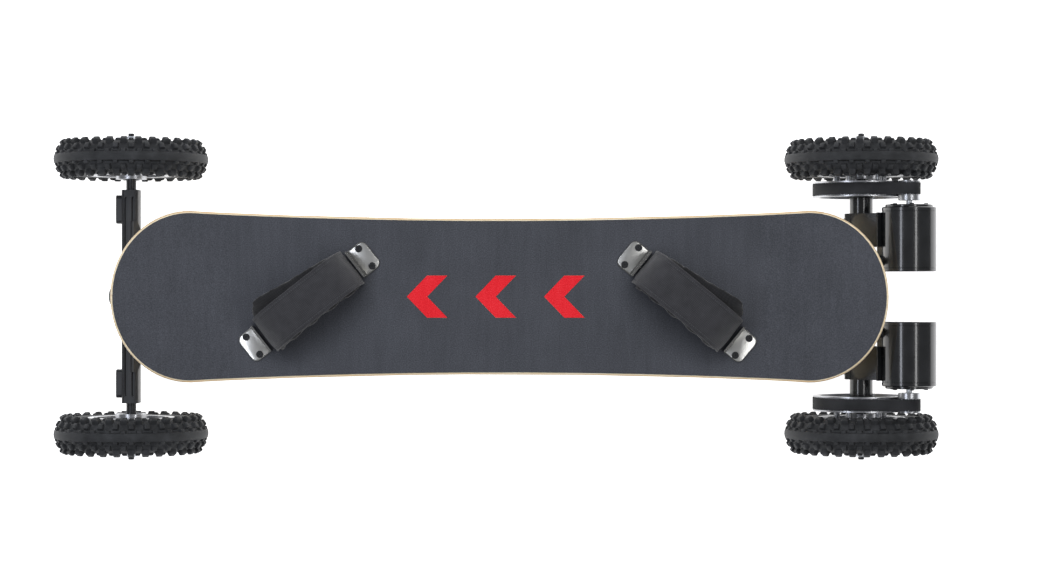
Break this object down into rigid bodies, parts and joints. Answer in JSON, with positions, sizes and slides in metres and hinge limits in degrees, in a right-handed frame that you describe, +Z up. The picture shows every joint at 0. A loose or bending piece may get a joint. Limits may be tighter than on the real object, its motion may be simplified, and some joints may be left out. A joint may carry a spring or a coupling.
{
  "type": "electric skateboard",
  "caption": "Off-road electric skateboard: waisted kick-ended deck with grip and foot straps, pivoting trucks, air-tyred wheels and belt-driven rear wheels.",
  "frame": {"origin": "on the ground, midway between the axles, on the board's centre line", "axes": "+X towards the tail and the driven wheels, +Y to the rider's right when facing forward, +Z up"},
  "size_m": [1.1534, 0.426, 0.2237],
  "materials": {
    "maple": "satin",
    "grip": "rough",
    "red_mark": "matt",
    "black_metal": "gloss",
    "satin_black": "satin",
    "polished": "polished",
    "steel": "brushed",
    "black_steel": "oxide",
    "webbing": "woven",
    "padding": "foam backed",
    "black_plastic": "textured",
    "soft_black": "matt",
    "tyre": "matt",
    "bushing_red": "soft",
    "green_board": "solder mask",
    "cell_wrap": "shrink film",
    "copper": "wound"
  },
  "bodies": {
    "board": {"deck": "maple", "grip_tape": "grip", "direction_marks": "red_mark", "binding_brackets": "polished", "front_binding_strap": "webbing", "rear_binding_strap": "webbing", "front_binding_pad": "padding", "rear_binding_pad": "padding", "binding_screws": "black_steel", "battery_box": "black_plastic", "box_gasket": "soft_black", "box_screws": "black_steel", "battery_cells": "cell_wrap", "battery_board": "green_board", "speed_controller": "satin_black", "charge_socket": "black_plastic", "button_bezel": "steel", "front_baseplate": "satin_black", "rear_baseplate": "satin_black", "riser_pads": "soft_black", "kingpins": "steel", "bushings": "bushing_red", "pivot_cups": "soft_black", "truck_bolts": "black_steel", "motor_cables": "soft_black"},
    "power_button": {"power_button": "soft_black"},
    "charge_cap": {"charge_cap": "soft_black"},
    "front_truck": {"front_hanger": "satin_black", "front_axle": "black_steel", "front_axle_nuts": "steel"},
    "rear_truck": {"rear_hanger": "black_metal", "rear_axle": "black_steel", "rear_axle_nuts": "steel", "motor_mounts": "satin_black", "mount_screws": "black_steel", "motor_cans": "black_metal", "motor_stators": "copper", "drive_belts": "soft_black"},
    "left_rotor": {"left_rotor": "steel", "left_motor_pulley": "polished"},
    "right_rotor": {"right_rotor": "steel", "right_motor_pulley": "polished"},
    "front_left_wheel": {"front_left_tyre": "tyre", "front_left_inner_tube": "soft_black", "front_left_rim": "polished", "front_left_bearings": "steel"},
    "front_right_wheel": {"front_right_tyre": "tyre", "front_right_inner_tube": "soft_black", "front_right_rim": "polished", "front_right_bearings": "steel"},
    "rear_left_wheel": {"rear_left_tyre": "tyre", "rear_left_inner_tube": "soft_black", "rear_left_rim": "polished", "rear_left_bearings": "steel", "left_drive_pulley": "satin_black"},
    "rear_right_wheel": {"rear_right_tyre": "tyre", "rear_right_inner_tube": "soft_black", "rear_right_rim": "polished", "rear_right_bearings": "steel", "right_drive_pulley": "satin_black"}
  },
  "joints": [
    {"name": "front_steer", "type": "hinge", "parent": "board", "child": "front_truck", "pos_m": [-0.46647, 0, 0.11226], "axis": [-0.766, 0, 0.6428], "range_deg": [-15, 15], "stiffness_Nm_per_rad": 120, "deforming": ["bushings"]},
    {"name": "rear_steer", "type": "hinge", "parent": "board", "child": "rear_truck", "pos_m": [0.46647, 0, 0.11226], "axis": [0.766, 0, 0.6428], "range_deg": [-15, 15], "stiffness_Nm_per_rad": 120, "deforming": ["bushings", "motor_cables"]},
    {"name": "front_left_wheel_spin", "type": "hinge", "parent": "front_truck", "child": "front_left_wheel", "pos_m": [-0.47675, -0.179, 0.1], "axis": [0, 1, 0], "continuous": true},
    {"name": "front_right_wheel_spin", "type": "hinge", "parent": "front_truck", "child": "front_right_wheel", "pos_m": [-0.47675, 0.179, 0.1], "axis": [0, 1, 0], "continuous": true},
    {"name": "rear_left_wheel_spin", "type": "hinge", "parent": "rear_truck", "child": "rear_left_wheel", "pos_m": [0.47675, -0.179, 0.1], "axis": [0, 1, 0], "continuous": true},
    {"name": "rear_right_wheel_spin", "type": "hinge", "parent": "rear_truck", "child": "rear_right_wheel", "pos_m": [0.47675, 0.179, 0.1], "axis": [0, 1, 0], "continuous": true},
    {"name": "left_rotor_spin", "type": "hinge", "parent": "rear_truck", "child": "left_rotor", "pos_m": [0.53065, -0.075, 0.1565], "axis": [0, 1, 0], "continuous": true},
    {"name": "right_rotor_spin", "type": "hinge", "parent": "rear_truck", "child": "right_rotor", "pos_m": [0.53065, 0.075, 0.1565], "axis": [0, 1, 0], "continuous": true},
    {"name": "power_button_press", "type": "slide", "parent": "board", "child": "power_button", "axis": [0, 1, 0], "range_m": [0, 0.0012], "stiffness_N_per_m": 400},
    {"name": "charge_cap_hinge", "type": "hinge", "parent": "board", "child": "charge_cap", "pos_m": [-0.205, -0.0881, 0.1385], "axis": [-1, 0, 0], "range_deg": [0, 90]}
  ],
  "couplings": [
    {"joint": "left_rotor_spin", "follows": "rear_left_wheel_spin", "ratio": 4.5882},
    {"joint": "right_rotor_spin", "follows": "rear_right_wheel_spin", "ratio": 4.5882}
  ]
}
